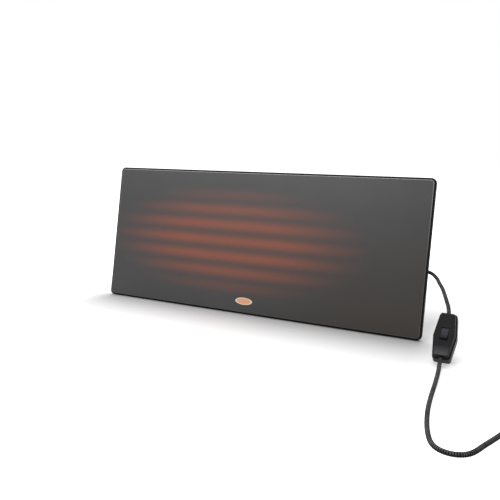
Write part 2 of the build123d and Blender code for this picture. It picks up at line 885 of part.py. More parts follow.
with BuildPart() as earth_screw_piece:
    with BuildSketch(back.offset(-cover_sheet)):
        with Locations(earth_behind):
            Circle(earth_screw)
    extrude(amount=cover_sheet + earth_sheet)
    with BuildSketch(back.offset(earth_sheet)):
        with Locations(earth_behind):
            Circle(earth_screw_head)
    extrude(amount=earth_screw_dome)
    screw_tops = earth_screw_piece.edges().filter_by(GeomType.CIRCLE).group_by(depth_axis)[-1]
    fillet(screw_tops, earth_screw_dome * dome_share)
    with BuildSketch(back.offset(earth_sheet + earth_screw_dome - recess_depth)):
        with Locations(earth_behind):
            add(cross_recess(earth_screw_head))
    extrude(amount=recess_depth, mode=Mode.SUBTRACT)
keep(earth_screw_piece.part, "earth_screw")

collar_x = box_side - box_wall - relief_collar_length
cord_depth = -cover_back - relief_axis
pass_depth = -cover_back - lead_pass
earth_depth = -cover_back - lead_radius
turn_x = block_left - lead_turn
lead_routes = [
    [
        (collar_x, box_center_height, cord_depth + core_spread),
        (collar_x - core_run, box_center_height, cord_depth + core_spread),
        (barrel_end + core_run, box_center_height, earth_depth),
        (barrel_end, box_center_height, earth_depth),
    ]
]
for turned, lead_y in ((-1, lead_low), (1, lead_high)):
    core_y = box_center_height + turned * core_spread
    pole_y = box_center_height + turned * pole_pitch
    lead_routes.append(
        [
            (collar_x, core_y, cord_depth),
            (collar_x - core_run, core_y, cord_depth),
            (block_right + core_run, pole_y, pole_depth),
            (block_right, pole_y, pole_depth),
        ]
    )
    lead_routes.append(
        [
            (tail_x, lead_y, -carrier_front),
            (tail_x, lead_y, pass_depth),
            (turn_x, lead_y, pass_depth),
            (turn_x, pole_y, pole_depth),
            (block_left, pole_y, pole_depth),
        ]
    )

with BuildPart() as inner_leads:
    for route in lead_routes:
        points = [face.from_local_coords(point) for point in route]
        with BuildLine() as lead_path:
            FilletPolyline(*points, radius=bend_radii(points))
        with BuildSketch(Plane(origin=lead_path.wire() @ 0, z_dir=lead_path.wire() % 0)):
            Circle(lead_radius)
        sweep(path=lead_path.wire())
keep(inner_leads.part, "inner_leads")

# Inline switch, leaning back with its lower rear edge on the floor
incline = math.radians(switch_incline)
heading = math.radians(switch_heading)
switch_axis = Vector(
    -math.sin(heading) * math.cos(incline), math.cos(heading) * math.cos(incline), math.sin(incline)
)
switch_across = Vector(math.cos(heading), math.sin(heading), 0)
switch_z = (
    (switch_length / 2 - switch_base_round) * math.sin(incline)
    + (switch_depth - switch_base_round) * math.cos(incline)
    + switch_base_round
)
switch_middle = Vector(switch_x, switch_y, switch_z)
switch_plane = Plane(origin=switch_middle, x_dir=switch_across, z_dir=switch_across.cross(switch_axis))
switch_normal = Axis(switch_middle, switch_plane.z_dir)
half_at_boss = switch_belly / 2 - (switch_belly - switch_end) * switch_boss_y / switch_length
switch_boss_x = half_at_boss - switch_lip - switch_wall - switch_boss
screw_places = [(switch_boss_x, switch_boss_y), (-switch_boss_x, -switch_boss_y)]
clamp_inset = switch_lip + clamp_height * math.tan(math.radians(switch_draft)) + clamp_gap
clamp_y = switch_length / 2 - switch_wall - clamp_inset - clamp_length / 2
clamp_places = [(0, clamp_y), (0, -clamp_y)]
cord_entry = switch_wall + clamp_inset + clamp_length
terminal_place = clamp_y - clamp_length / 2 - terminal_gap - terminal_length / 2
post_x = cord_radius + cord_gap + post_width / 2
post_places = [(side * post_x, end * clamp_y) for side in (-1, 1) for end in (-1, 1)]
terminal_places = [(0, terminal_place), (0, -terminal_place)]
base_floor = switch_wall - switch_depth
cover_ceiling = switch_rise - switch_wall
rocker_pivot = switch_rise - rocker_set


def switch_outline(inset):
    half_length = switch_length / 2 - inset
    half_end = switch_end / 2 - inset
    half_belly = switch_belly / 2 - inset
    with BuildSketch() as outline:
        with BuildLine():
            Polyline(
                (half_end, -half_length),
                (half_belly, 0),
                (half_end, half_length),
                (-half_end, half_length),
                (-half_belly, 0),
                (-half_end, -half_length),
                close=True,
            )
        make_face()
        rows = outline.vertices().group_by(Axis.Y)
        fillet(rows[1], switch_belly_round)
        rows = outline.vertices().group_by(Axis.Y)
        fillet(rows[0] + rows[-1], switch_corner - inset / 2)
    return outline.sketch


cord_hole = Plane(origin=switch_middle - switch_axis * switch_length, z_dir=switch_axis)

with BuildPart() as switch_base:
    with BuildSketch(switch_plane.offset(-switch_depth)):
        add(switch_outline(0))
    extrude(amount=switch_depth)
    fillet(switch_base.faces().sort_by(switch_normal)[0].edges(), switch_base_round)
    with BuildSketch(switch_plane.offset(base_floor)):
        add(switch_outline(switch_wall))
    extrude(amount=-base_floor, mode=Mode.SUBTRACT)
    with BuildSketch(switch_plane.offset(base_floor)):
        with Locations(*screw_places):
            Circle(switch_boss)
        with Locations(*post_places):
            Rectangle(post_width, clamp_length)
    extrude(amount=-base_floor)
    with BuildSketch(switch_plane.offset(-switch_depth)):
        with Locations(*screw_places):
            Circle(switch_screw_radius + screw_gap)
    extrude(amount=switch_depth, mode=Mode.SUBTRACT)
    with BuildSketch(switch_plane.offset(-switch_depth)):
        with Locations(*screw_places):
            Circle(switch_screw_head + neck_gap)
    extrude(amount=switch_screw_sink, mode=Mode.SUBTRACT)
    with BuildSketch(cord_hole):
        Circle(cord_radius + cord_gap)
    extrude(amount=2 * switch_length, mode=Mode.SUBTRACT)
keep(switch_base.part, "switch_base")

pivot_plane = switch_plane.offset(rocker_pivot)
opening_half_width = rocker_width / 2 + rocker_gap
with BuildPart() as switch_cover:
    with BuildSketch(switch_plane):
        add(switch_outline(switch_lip))
    extrude(amount=switch_rise, taper=switch_draft)
    fillet(switch_cover.faces().sort_by(switch_normal)[-1].edges(), switch_cover_round)
    with BuildSketch(switch_plane):
        add(switch_outline(switch_lip + switch_wall))
    extrude(amount=cover_ceiling, taper=switch_draft, mode=Mode.SUBTRACT)
    with BuildSketch(switch_plane):
        with Locations(*screw_places):
            Circle(switch_boss)
    extrude(amount=cover_ceiling)
    with BuildSketch(switch_plane.offset(cover_ceiling - cheek_height)):
        with GridLocations(2 * opening_half_width + cheek_thickness, 1, 2, 1):
            Rectangle(cheek_thickness, cheek_width)
    extrude(amount=cheek_height)
    with BuildSketch(switch_plane):
        Rectangle(2 * opening_half_width, 2 * (rocker_reach + rocker_gap))
    extrude(amount=2 * switch_rise, mode=Mode.SUBTRACT)
    with BuildSketch(Plane(origin=pivot_plane.origin, x_dir=switch_axis, z_dir=switch_across)):
        Circle(trunnion_radius + trunnion_gap)
    extrude(amount=rocker_width / 2 + trunnion_length + cheek_gap, both=True, mode=Mode.SUBTRACT)
    with BuildSketch(switch_plane):
        with Locations(*screw_places):
            Circle(switch_screw_radius + screw_gap)
    extrude(amount=cover_screw_depth, mode=Mode.SUBTRACT)
    with BuildSketch(cord_hole):
        Circle(cord_radius + cord_gap)
    extrude(amount=2 * switch_length, mode=Mode.SUBTRACT)
keep(switch_cover.part, "switch_cover")

# Rocker: round ends about its pivot, a shallow valley on top, and a trunnion each side
rest = math.radians(rocker_rest)
rocker_plane = Plane(
    origin=pivot_plane.origin,
    x_dir=switch_axis * math.cos(rest) - switch_plane.z_dir * math.sin(rest),
    z_dir=switch_across,
)
with BuildPart() as switch_rocker:
    with BuildSketch(rocker_plane):
        Circle(rocker_reach)
        with BuildLine():
            Polyline(
                (-rocker_reach, -rocker_keel),
                (rocker_reach, -rocker_keel),
                (rocker_reach, rocker_crest),
                (0, rocker_valley),
                (-rocker_reach, rocker_crest),
                close=True,
            )
        make_face(mode=Mode.INTERSECT)
    extrude(amount=rocker_width / 2, both=True)
    rocker_sides = switch_rocker.faces().sort_by(Axis(pivot_plane.origin, switch_across))
    fillet(rocker_sides[0].edges() + rocker_sides[-1].edges(), rocker_round)
    with BuildSketch(rocker_plane):
        Circle(trunnion_radius)
    extrude(amount=rocker_width / 2 + trunnion_length, both=True)
keep(switch_rocker.part, "switch_rocker")

# Clamps over the cord, terminals with their leaf contacts, and the screws from behind
with BuildPart() as switch_clamps:
    with BuildSketch(switch_plane):
        with Locations(*clamp_places):
            Rectangle(2 * post_x + post_width, clamp_length)
    extrude(amount=clamp_height)
    with BuildSketch(cord_hole):
        Circle(cord_radius + cord_gap)
    extrude(amount=2 * switch_length, mode=Mode.SUBTRACT)
keep(switch_clamps.part, "switch_clamps")

with BuildPart() as switch_terminals:
    with BuildSketch(switch_plane.offset(base_floor)):
        with Locations(*terminal_places):
            Rectangle(terminal_width, terminal_length)
            Rectangle(
                terminal_width - 2 * terminal_sheet, terminal_length - 2 * terminal_sheet, mode=Mode.SUBTRACT
            )
    extrude(amount=terminal_height)
keep(switch_terminals.part, "switch_terminals")

contact_point = terminal_place + terminal_length / 2 - contact_length + contact_width / 2
with BuildPart() as switch_contacts:
    with BuildSketch(switch_plane.offset(base_floor + terminal_height)):
        for end in (-1, 1):
            with Locations((0, end * (terminal_place + terminal_length / 2 - contact_length / 2))):
                Rectangle(contact_width, contact_length)
    extrude(amount=contact_sheet)
    with BuildSketch(switch_plane.offset(base_floor + terminal_height + contact_sheet)):
        for end in (-1, 1):
            with Locations((0, end * contact_point)):
                Circle(contact_button)
    extrude(amount=contact_sheet)
keep(switch_contacts.part, "switch_contacts")

switch_head_height = switch_screw_sink * dome_share
with BuildPart() as switch_screws:
    with BuildSketch(switch_plane.offset(switch_screw_sink - switch_depth)):
        with Locations(*screw_places):
            Circle(switch_screw_head)
    extrude(amount=-switch_head_height)
    with BuildSketch(switch_plane.offset(switch_screw_sink - switch_depth - switch_head_height)):
        with Locations(*screw_places):
            add(cross_recess(switch_screw_head))
    extrude(amount=recess_depth, mode=Mode.SUBTRACT)
    with BuildSketch(switch_plane.offset(switch_screw_sink - switch_depth)):
        with Locations(*screw_places):
            Circle(switch_screw_radius)
    extrude(amount=switch_depth - switch_screw_sink + cover_screw_depth - screw_gap)
keep(switch_screws.part, "switch_screws")


def cord_tube(route, name):
    radii = bend_radii(route)
    with BuildPart() as tube:
        with BuildLine() as path:
            FilletPolyline(*route, radius=radii)
        with BuildSketch(Plane(origin=path.wire() @ 0, z_dir=path.wire() % 0)):
            Circle(cord_radius)
        sweep(path=path.wire())
    length = path.wire().length
    print(name, "length", round(length, 1), "radii", [round(radius, 1) for radius in radii])
    print(name, "volume over section times length", tube.part.volume / (math.pi * cord_radius**2 * length))
    return tube.part


# Cord from the strain relief to the switch
relief_end = relief_start + Vector(relief_length, 0, 0)
switch_top = switch_middle + switch_axis * (switch_length / 2)
switch_bottom = switch_middle - switch_axis * (switch_length / 2)
lead_route = [relief_end, relief_end + Vector(lead_start_run, 0, 0)]
lead_route += [Vector(*point) for point in lead_middle]
lead_route += [switch_top + switch_axis * lead_end_run, switch_top - switch_axis * cord_entry]
keep(cord_tube(lead_route, "cord_lead"), "cord_lead")

# Cord from the switch down to the floor and over it to the coil
forward = Vector(math.sin(heading), -math.cos(heading), 0)
drop_slope = math.radians(drop_second_slope)
first_drop = switch_bottom - switch_axis * drop_first
sink = Vector(0, 0, -drop_second * math.sin(drop_slope))
second_drop = first_drop + forward * (drop_second * math.cos(drop_slope)) + sink
coil_pitch = 2 * cord_radius + coil_gap
coil_low = cord_radius + coil_lift
coil_high = coil_low + coil_pitch
run_route = [switch_bottom + switch_axis * cord_entry, first_drop, second_drop]
run_route += [Vector(x, y, cord_radius) for x, y in floor_run]
run_route += [Vector(*coil_approach, coil_low), Vector(*coil_start, coil_low)]
keep(cord_tube(run_route, "cord_run"), "cord_run")

# Coil: half turns spiral in on the floor, climb once and spiral out on top of it
turn_heading = math.radians(coil_heading)
coil_travel = Vector(math.sin(turn_heading), math.cos(turn_heading), 0)
coil_outward = Vector(-math.cos(turn_heading), math.sin(turn_heading), 0)
lower_radii = [coil_outer - step * coil_pitch / 2 for step in range(coil_half_turns)]
climb_radius = coil_outer - coil_half_turns * coil_pitch / 2
half_turns = [(radius, 0) for radius in lower_radii]
half_turns += [(climb_radius, coil_pitch)]
half_turns += [(radius, 0) for radius in reversed(lower_radii)]
coil_in = Vector(*coil_start, coil_low)
coil_first = coil_in + coil_travel * (2 * cord_radius)
coil_middle = coil_first - coil_outward * coil_outer

with BuildPart() as cord_coil:
    with BuildLine() as coil_path:
        Line(coil_in, coil_first)
        turn_from = coil_first
        travel = coil_travel
        inward = coil_outward * -1
        for radius, rise in half_turns:
            turn_to = turn_from + inward * (2 * radius) + Vector(0, 0, rise)
            chord = turn_to - turn_from
            crest = (turn_from + turn_to) * 0.5 + travel * (chord.length / 2)
            TangentArc(turn_from, crest, tangent=travel)
            TangentArc(crest, turn_to, tangent=chord.normalized())
            turn_from = turn_to
            travel = travel * -1
            inward = inward * -1
        coil_out = turn_from + travel * coil_tail
        Line(turn_from, coil_out)
    with BuildSketch(Plane(origin=coil_in, z_dir=coil_travel)):
        Circle(cord_radius)
    sweep(path=coil_path.wire())
coil_length = coil_path.wire().length
print("cord_coil length", round(coil_length, 1))
coil_swept = math.pi * cord_radius**2 * coil_length
print("cord_coil volume over section times length", cord_coil.part.volume / coil_swept)
samples = [coil_path.wire() @ (step / coil_samples) for step in range(coil_samples + 1)]
apart = int(coil_samples * climb_radius * 2 / coil_length)
least = min(
    (samples[first] - samples[second]).length
    for first in range(coil_samples + 1)
    for second in range(first + apart, coil_samples + 1)
)
print("cord_coil least gap to itself", round(least - 2 * cord_radius, 2))
keep(cord_coil.part, "cord_coil")

# Tie round the bundle of turns
bundle_width = 2 * (coil_pitch + cord_radius + tie_side_gap)
bundle_height = coil_pitch + 2 * (cord_radius + tie_gap)
bundle_middle = coil_middle + coil_travel * (coil_outer - coil_pitch) + Vector(0, 0, coil_pitch / 2)
tie_plane = Plane(origin=bundle_middle, x_dir=coil_travel, z_dir=coil_outward)
with BuildPart() as coil_tie:
    with BuildSketch(tie_plane):
        RectangleRounded(bundle_width + 2 * tie_sheet, bundle_height + 2 * tie_sheet, tie_round + tie_sheet)
        RectangleRounded(bundle_width, bundle_height, tie_round, mode=Mode.SUBTRACT)
    extrude(amount=tie_width / 2, both=True)
keep(coil_tie.part, "coil_tie")

# Grounded plug lying beside the coil, at the height of the upper turns
plug_side = Vector(0, 0, 1).cross(travel)


def plug_plane(distance):
    return Plane(origin=coil_out + travel * distance, x_dir=plug_side, z_dir=travel)


with BuildPart() as plug_body:
    with BuildSketch(plug_plane(0)):
        RectangleRounded(plug_neck, plug_neck, plug_neck * plug_neck_share)
    with BuildSketch(plug_plane(plug_waist)):
        RectangleRounded(plug_waist_width, plug_waist_width, plug_edge)
    with BuildSketch(plug_plane(plug_grip)):
        RectangleRounded(plug_width, 2 * coil_high, plug_edge)
    loft(ruled=True)
    with BuildSketch(plug_plane(plug_grip)):
        RectangleRounded(plug_width, 2 * coil_high, plug_edge)
    extrude(amount=plug_length - plug_grip)
    fillet(plug_body.faces().sort_by(Axis(coil_out, travel))[-1].edges(), plug_face_round)
    rib_pitch = plug_waist / plug_ribs
    for rib in range(plug_ribs):
        rib_start = rib_pitch * (rib + 1) - plug_rib
        rib_width = plug_neck + (plug_waist_width - plug_neck) * rib_start / plug_waist + 2 * plug_rib_rise
        with BuildSketch(plug_plane(rib_start)):
            RectangleRounded(rib_width, rib_width, plug_neck * plug_neck_share)
        extrude(amount=plug_rib)
keep(plug_body.part, "plug_body")

with BuildPart() as plug_blades:
    with BuildSketch(plug_plane(plug_length)):
        with Locations((0, blade_rise)):
            with GridLocations(blade_spacing, 1, 2, 1):
                Rectangle(blade_sheet, blade_width)
    extrude(amount=blade_length)
    chamfer(plug_blades.faces().sort_by(Axis(coil_out, travel))[-2:].edges(), blade_sheet / 4)
keep(plug_blades.part, "plug_blades")

with BuildPart() as plug_pin:
    with BuildSketch(plug_plane(plug_length)):
        with Locations((0, blade_rise - ground_drop)):
            Circle(ground_radius)
    extrude(amount=ground_length)
    fillet(plug_pin.faces().sort_by(Axis(coil_out, travel))[-1].edges(), ground_radius * dome_share)
keep(plug_pin.part, "plug_pin")
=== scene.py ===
# Flat panel coop heater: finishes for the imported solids, the braided cord, the photograph's view
import math

import bpy
import numpy as np
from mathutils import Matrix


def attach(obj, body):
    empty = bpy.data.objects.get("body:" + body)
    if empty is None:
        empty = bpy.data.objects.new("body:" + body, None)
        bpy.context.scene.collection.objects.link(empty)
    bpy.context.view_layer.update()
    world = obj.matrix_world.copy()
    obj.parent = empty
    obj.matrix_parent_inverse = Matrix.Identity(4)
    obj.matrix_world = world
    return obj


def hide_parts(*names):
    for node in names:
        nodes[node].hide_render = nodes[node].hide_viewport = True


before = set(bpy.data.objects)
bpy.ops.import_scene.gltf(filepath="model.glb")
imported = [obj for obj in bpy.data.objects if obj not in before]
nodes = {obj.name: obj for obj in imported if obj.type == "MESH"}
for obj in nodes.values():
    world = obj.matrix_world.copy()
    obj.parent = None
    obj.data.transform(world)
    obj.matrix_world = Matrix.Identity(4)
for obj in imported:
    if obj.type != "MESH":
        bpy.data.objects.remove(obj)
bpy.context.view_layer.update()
mm = 0.001
upright = np.array((0, 0, 1))
white = (1, 1, 1, 1)
oneBand = 2 * math.pi / 20  # a wave texture of this scale has one band to each unit of its vector
print("frame loaded:", len(nodes), "nodes")


def linearColour(hexText):  # sRGB hex to the linear values that shaders read
    srgb = np.array([int(hexText[at:at + 2], 16) for at in (1, 3, 5)]) / 255
    linear = np.where(srgb <= 0.04045, srgb / 12.92, ((srgb + 0.055) / 1.055) ** 2.4)
    return (*linear.tolist(), 1.0)


def addNode(tree, kind, sockets=None, **settings):  # a socket takes a value, or what feeds it
    node = tree.nodes.new(kind)
    for name, value in settings.items():
        setattr(node, name, value)
    for name, value in (sockets or {}).items():
        if isinstance(value, bpy.types.NodeSocket):
            tree.links.new(value, node.inputs[name])
        else:
            node.inputs[name].default_value = value
    return node


def newFinish(name, shaderValues):
    finish = bpy.data.materials.new(name)
    finish.use_nodes = True
    shader = finish.node_tree.nodes["Principled BSDF"]
    for socket, value in shaderValues.items():
        shader.inputs[socket].default_value = value
    return finish, finish.node_tree, shader


def giveFinish(finish, *names):
    for name in names:
        for place in nodes[name].material_slots:
            place.material = finish


def gridPiece(name, grid, finish, surfaceMap):
    # A closed surface on rows and columns of points: the last column joins the first, and a face
    # closes each end row. The surface map has one column more, so that it runs on across the join.
    rows, columns = grid.shape[:2]
    row, column = np.meshgrid(np.arange(rows - 1), np.arange(columns), indexing="ij")
    beside = (column + 1) % columns
    thisRow, nextRow = row * columns, (row + 1) * columns
    corners = [thisRow + column, thisRow + beside, nextRow + beside, nextRow + column]
    faces = np.stack(corners, -1).reshape(-1, 4).tolist()
    faces += [list(range(columns))[::-1], list(range((rows - 1) * columns, rows * columns))]
    mesh = bpy.data.meshes.new(name)
    mesh.from_pydata(grid.reshape(-1, 3).tolist(), [], faces)
    uv = np.zeros((len(mesh.loops), 2), np.float32)
    shown = [surfaceMap[row + up, column + over] for up, over in ((0, 0), (0, 1), (1, 1), (1, 0))]
    shown = np.stack(shown, 2).reshape(-1, 2)
    uv[:len(shown)] = shown
    mesh.uv_layers.new(name="surface").data.foreach_set("uv", uv.ravel())
    mesh.polygons.foreach_set("use_smooth", np.ones(len(mesh.polygons), bool))
    mesh.materials.append(finish)
    piece = bpy.data.objects.new(name, mesh)
    bpy.context.collection.objects.link(piece)
    return piece


# Camera: the photograph's place, worked out from the panel's four corners, in metres and degrees
cameraView = {
    "place": (0.5696, -1.1443, 0.3858), "yaw": 27.19, "down": 11.235, "lens": 43.2, "sensor": 36}
cameraData = bpy.data.cameras.new("camera")
cameraData.lens = cameraView["lens"]
cameraData.sensor_width = cameraView["sensor"]
camera = bpy.data.objects.new("camera", cameraData)
bpy.context.collection.objects.link(camera)
camera.location = cameraView["place"]
camera.rotation_euler = (
    math.radians(90 - cameraView["down"]), 0, math.radians(cameraView["yaw"]))
bpy.context.scene.camera = camera

# Braided cotton over rubber: matt black and grey threads in zigzag rows across the cord, so it
# looks speckled. Painted light: the grey threads are painted pale along the top of the cord, as if
# lit from above, more in some patches of about a centimetre than in others, and painted dark at its
# sides as painted shade.
# A real thread is about 0.7 mm wide; the rows are drawn 3 mm apart, so that they show.
braid = {
    "dark": "#0b0b0c", "light": "#6c6c70", "roughness": 0.9, "specular": 0.08,
    "row": 3.0 * mm, "zigzag": 0.3, "relief": 0.22 * mm, "threadRange": (0.6, 1.3),
    "fuzzSize": 1.2 * mm, "fuzzHeight": 0.1 * mm, "fuzzBump": 0.8,
    "top": 0.75, "paintedLightPart": (0.12, 0.29),  # in turns round the cord
    "sideShade": 0.05, "patch": 9 * mm, "patchRange": (0.35, 0.65), "patchShade": (0.6, 1.4)}
braidFinish, tree, shader = newFinish("braided cotton sleeve", {
    "Roughness": braid["roughness"], "Specular IOR Level": braid["specular"]})
uvMap = addNode(tree, "ShaderNodeUVMap", uv_map="surface")
objectPlace = addNode(tree, "ShaderNodeTexCoord").outputs["Object"]
rows = addNode(tree, "ShaderNodeTexWave", {
    "Vector": uvMap.outputs["UV"], "Scale": oneBand}, bands_direction="X")
fuzz = addNode(tree, "ShaderNodeTexNoise", {
    "Vector": objectPlace, "Scale": 1 / braid["fuzzSize"], "Detail": 3.0})
thread = addNode(tree, "ShaderNodeMath", {
    0: rows.outputs["Fac"], 1: fuzz.outputs["Fac"]}, operation="ADD")
shownThread = addNode(tree, "ShaderNodeMapRange", {
    "Value": thread.outputs[0],
    "From Min": braid["threadRange"][0], "From Max": braid["threadRange"][1]})
aroundCord = addNode(tree, "ShaderNodeSeparateXYZ", {"Vector": uvMap.outputs["UV"]})
fromTop = addNode(tree, "ShaderNodeMath", {
    0: aroundCord.outputs["Y"], 1: braid["top"]}, operation="SUBTRACT")
eitherSide = addNode(tree, "ShaderNodeMath", {0: fromTop.outputs[0]}, operation="ABSOLUTE")
# painted light: pale along the top of the cord, and painted shade at its sides
paintedLighting = addNode(tree, "ShaderNodeMapRange", {
    "Value": eitherSide.outputs[0],
    "From Min": braid["paintedLightPart"][0], "From Max": braid["paintedLightPart"][1],
    "To Min": 1.0, "To Max": braid["sideShade"]}, interpolation_type="SMOOTHSTEP")
wear = addNode(tree, "ShaderNodeTexNoise", {
    "Vector": objectPlace, "Scale": 1 / braid["patch"], "Detail": 2.0})
patched = addNode(tree, "ShaderNodeMapRange", {
    "Value": wear.outputs["Fac"],
    "From Min": braid["patchRange"][0], "From Max": braid["patchRange"][1],
    "To Min": braid["patchShade"][0], "To Max": braid["patchShade"][1]})
paintedTopLightInPatches = addNode(tree, "ShaderNodeMath", {
    0: paintedLighting.outputs[0], 1: patched.outputs[0]}, operation="MULTIPLY")
paintedLitThread = addNode(tree, "ShaderNodeMath", {
    0: shownThread.outputs[0], 1: paintedTopLightInPatches.outputs[0]}, operation="MULTIPLY")
braidColour = addNode(tree, "ShaderNodeMix", {
    0: paintedLitThread.outputs[0], 6: linearColour(braid["dark"]), 7: linearColour(braid["light"])},
    data_type="RGBA")
relief = addNode(tree, "ShaderNodeBump", {
    "Height": fuzz.outputs["Fac"], "Distance": braid["fuzzHeight"], "Strength": braid["fuzzBump"]})
tree.links.new(braidColour.outputs[2], shader.inputs["Base Color"])
tree.links.new(relief.outputs["Normal"], shader.inputs["Normal"])

cord = {"diameter": 7 * mm, "step": 0.5 * mm, "sides": 20, "splineOrder": 3, "splineSteps": 24}


def splineLine(route):  # points read from a NURBS spline whose control points are the route's
    curve = bpy.data.curves.new("route", "CURVE")
    curve.dimensions = "3D"
    curve.resolution_u = cord["splineSteps"]
    spline = curve.splines.new("NURBS")
    spline.points.add(len(route) - 1)
    weighted = np.c_[route, np.ones(len(route))]
    spline.points.foreach_set("co", weighted.astype(np.float32).ravel())
    spline.order_u = cord["splineOrder"]
    spline.use_endpoint_u = True
    holder = bpy.data.objects.new("route", curve)
    bpy.context.collection.objects.link(holder)
    line = bpy.data.meshes.new_from_object(holder)
    points = np.empty(len(line.vertices) * 3, np.float32)
    line.vertices.foreach_get("co", points)
    bpy.data.objects.remove(holder)
    bpy.data.curves.remove(curve)
    bpy.data.meshes.remove(line)
    return points.reshape(-1, 3).astype(float)


def braidedTube(name, route):
    # A circle carried along the spline's points, its frame kept level by the vertical.
    # The surface map counts the rows along the cord, pushed forward at every other side, so that
    # they zigzag. Between rows the radius is less by the relief:
    # radius = half the diameter - relief (1 + cos(2 pi count)) / 2.
    line = splineLine(route)
    travelled = np.r_[0, np.cumsum(np.linalg.norm(np.diff(line, axis=0), axis=1))]
    rings = int(travelled[-1] / cord["step"]) + 1
    at = np.linspace(0, travelled[-1], rings)
    path = np.stack([np.interp(at, travelled, line[:, axis]) for axis in range(3)], -1)
    tangent = np.gradient(path, axis=0)
    tangent /= np.linalg.norm(tangent, axis=1, keepdims=True)
    side = np.cross(tangent, upright)
    side /= np.linalg.norm(side, axis=1, keepdims=True)
    lift = np.cross(tangent, side)
    sideNumber = np.arange(cord["sides"] + 1)
    turn = sideNumber / cord["sides"]
    angle = 2 * np.pi * turn[:-1, None]
    ring = side[:, None] * np.cos(angle) + lift[:, None] * np.sin(angle)
    count = at[:, None] / braid["row"] + braid["zigzag"] * (sideNumber % 2)
    hollow = (1 + np.cos(2 * np.pi * count[:, :-1, None])) / 2
    radius = cord["diameter"] / 2 - braid["relief"] * hollow
    grid = path[:, None] + radius * ring
    piece = gridPiece(name, grid, braidFinish, np.stack(np.broadcast_arrays(count, turn), -1))
    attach(piece, "panel")
    return piece, path, travelled[-1]


# Routes of the cord either side of the switch, with points given to follow the photograph
leadRoute = np.array([
    (360, -9.2526, 124.8223), (369.1, -9.2526, 124.8223), (383.4, -17.6, 115.9),
    (389, -28.9, 110.6), (398.5, -46.2, 105.6), (408, -68.6, 95.8), (419.994, -90.7, 77.483),
    (419.894, -101.902, 65.471)]) * mm
runRoute = np.array([
    (419.506, -146.499, 17.644), (419.428, -155.4, 8.098), (419.353, -164.01, 4.083),
    (421.8, -180, 3.5), (426.5, -233, 3.5), (429.9, -290, 3.5), (434.2, -338.1, 3.5),
    (442.7, -387.8, 3.5), (452.1, -420.5, 3.5), (459.7, -434.7, 3.5), (469.6, -442.3, 3.5),
    (481.2, -444.9, 3.5), (492.6, -442.5, 3.5), (502, -435.8, 3.5), (508.7, -424.8, 3.5),
    (516.1, -405.3, 3.5), (526.8, -380.4, 3.5), (538.5, -354.5, 4.7), (547, -329.9, 4.7)]) * mm

# Coil: half turns that spiral in on the floor, climb once and spiral out on top, with the tail
# into the plug. Each half turn on the way in has half a pitch less radius than the one before.
coil = {
    "heading": 19, "outer": 46.5 * mm, "pitch": 7.6 * mm, "halfTurns": 4, "points": 12,
    "lead": 7 * mm, "tail": 30 * mm}
headingTurn = math.radians(coil["heading"])
coilTravel = np.array((math.sin(headingTurn), math.cos(headingTurn), 0))
coilInward = np.array((math.cos(headingTurn), -math.sin(headingTurn), 0))
inward = [coil["outer"] - step * coil["pitch"] / 2 for step in range(coil["halfTurns"])]
climb = coil["outer"] - coil["halfTurns"] * coil["pitch"] / 2
radii = [*inward, climb, *reversed(inward)]
rises = [0] * len(inward) + [coil["pitch"]] + [0] * len(inward)
cutIn = (1 + math.cos(math.pi / coil["points"])) / 2  # the spline runs inside its control points
turnFrom = runRoute[-1] + coilTravel * coil["lead"]
coilMiddle = turnFrom + coilInward * coil["outer"]
sweep = (np.arange(coil["points"]) + 0.5)[:, None] * math.pi / coil["points"]
coilRoute = [turnFrom[None]]
direction = 1
for radius, rise in zip(radii, rises):
    centre = turnFrom + direction * coilInward * radius
    spread = radius / cutIn
    swung = coilTravel * np.sin(sweep) - coilInward * np.cos(sweep)
    turns = centre + direction * spread * swung
    turns[:, 2] += rise * sweep[:, 0] / math.pi
    coilRoute.append(turns)
    turnFrom = turnFrom + 2 * direction * coilInward * radius + upright * rise
    direction = -direction
plugStart = turnFrom + direction * coilTravel * coil["tail"]
coilRoute += [turnFrom[None], plugStart[None]]

leadCord, leadPath, leadLength = braidedTube("braided_lead", leadRoute)
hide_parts("cord_lead")
wholeRun = np.concatenate([runRoute, *coilRoute])
runCord, runPath, runLength = braidedTube("braided_run", wholeRun)
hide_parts("cord_run", "cord_coil")
print("cord lengths", round(leadLength, 4), round(runLength, 4))

# Satin powder coat on the pressed steel face: charcoal with a soft gloss and a faint orange peel.
# It is painted warmer and darker towards the low corner on the cord's side, a painted shade. The
# sheet's rolled edge is painted light, most towards the top: a painted highlight inside the rim.
# Straight level bands are printed in it, rust brown, strongest in the middle and fading out at
# their ends.
face = {
    "lean": 12, "foot": (0, -56.9222 * mm, 2.0484 * mm),  # X along the panel, Y into it, Z up it
    "base": "#434344", "shade": "#3c3c3d", "cloud": 60 * mm, "roughness": (0.32, 0.38),
    "specular": 0.33, "peel": 2.5 * mm, "peelHeight": 0.03 * mm, "peelBump": 0.5,
    "low": "#332d28", "lowFrom": (-60 * mm, 240 * mm), "lowUnder": (280 * mm, 20 * mm),
    "glow": "#a0563e", "bandPitch": 34 * mm, "bandLeast": 0.25, "glowMost": 0.7, "glowFull": 0.7,
    "glowMiddle": (-60 * mm, 0, 152 * mm), "glowReach": (340 * mm, 1, 135 * mm),
    "thin": "#b8b8bd", "rolled": (0.02 * mm, 0.2 * mm), "paintedLight": (150 * mm, 300 * mm),
    "paintedLightLeast": 0.25}
faceFinish, tree, shader = newFinish("satin powder coat with printed bands", {
    "Specular IOR Level": face["specular"]})
objectPlace = addNode(tree, "ShaderNodeTexCoord").outputs["Object"]
onPanel = addNode(tree, "ShaderNodeMapping", {
    "Vector": objectPlace, "Location": face["foot"],
    "Rotation": (math.radians(-face["lean"]), 0, 0)}, vector_type="TEXTURE")
bands = addNode(tree, "ShaderNodeTexWave", {
    "Vector": onPanel.outputs[0], "Scale": oneBand / face["bandPitch"]}, bands_direction="Z")
bandSoft = addNode(tree, "ShaderNodeMapRange", {
    "Value": bands.outputs["Fac"], "To Min": face["bandLeast"]})
